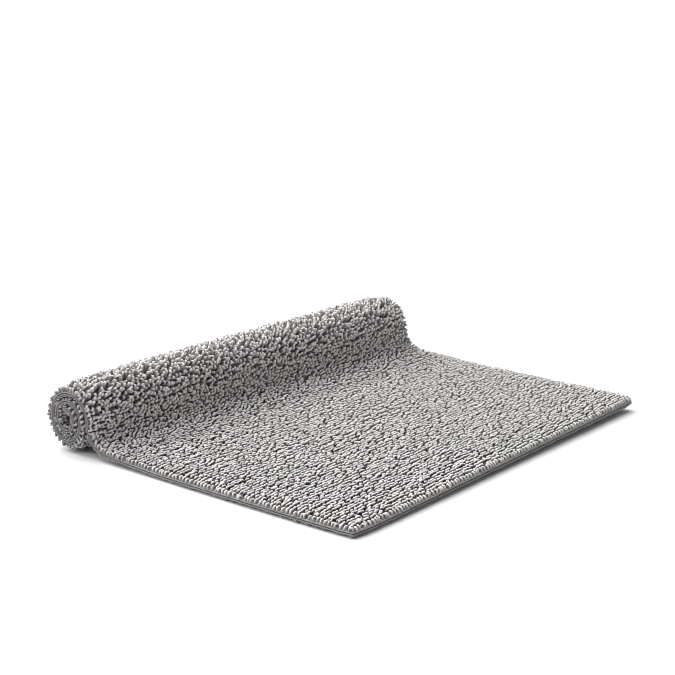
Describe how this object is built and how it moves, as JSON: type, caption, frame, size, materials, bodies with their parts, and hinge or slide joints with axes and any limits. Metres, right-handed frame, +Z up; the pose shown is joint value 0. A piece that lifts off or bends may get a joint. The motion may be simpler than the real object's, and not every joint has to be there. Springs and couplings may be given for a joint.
{
  "type": "bath mat",
  "caption": "Soft grey cotton bath mat with fat yarn loops on both sides, one end lying flat on the floor and the other end rolled up into a loose roll.",
  "frame": {"origin": "bottom centre of the mat's box as it lies, on the floor", "axes": "+X from the roll to the free end, +Y across the mat along the roll, +Z up"},
  "size_m": [0.4247, 0.5, 0.0731],
  "materials": {
    "loop_yarn": "fat soft cotton loop yarn, mid warm grey, matt with a slight fuzz",
    "ground_cloth": "plain woven cotton ground cloth, same grey, matt",
    "hem_cloth": "turned hem of the ground cloth, slightly lighter, fine weave, matt",
    "seam_thread": "twisted sewing thread, grey, slight sheen"
  },
  "bodies": {
    "root": {"face_cloth": "ground_cloth", "back_cloth": "ground_cloth", "face_hem_front": "hem_cloth", "face_hem_back": "hem_cloth", "face_hem_free_end": "hem_cloth", "face_hem_rolled_end": "hem_cloth", "back_hem_front": "hem_cloth", "back_hem_back": "hem_cloth", "back_hem_free_end": "hem_cloth", "back_hem_rolled_end": "hem_cloth", "seam_front": "seam_thread", "seam_back": "seam_thread", "seam_free_end": "seam_thread", "seam_rolled_end": "seam_thread", "face_loops_01": "loop_yarn", "face_loops_02": "loop_yarn", "face_loops_03": "loop_yarn", "face_loops_04": "loop_yarn", "face_loops_05": "loop_yarn", "face_loops_06": "loop_yarn", "face_loops_07": "loop_yarn", "face_loops_08": "loop_yarn", "face_loops_09": "loop_yarn", "face_loops_10": "loop_yarn", "face_loops_11": "loop_yarn", "face_loops_12": "loop_yarn", "face_loops_13": "loop_yarn", "face_loops_14": "loop_yarn", "back_loops_01": "loop_yarn", "back_loops_02": "loop_yarn", "back_loops_03": "loop_yarn", "back_loops_04": "loop_yarn", "back_loops_05": "loop_yarn", "back_loops_06": "loop_yarn", "back_loops_07": "loop_yarn", "back_loops_08": "loop_yarn", "back_loops_09": "loop_yarn", "back_loops_10": "loop_yarn", "back_loops_11": "loop_yarn", "back_loops_12": "loop_yarn", "back_loops_13": "loop_yarn", "back_loops_14": "loop_yarn"}
  },
  "joints": []
}
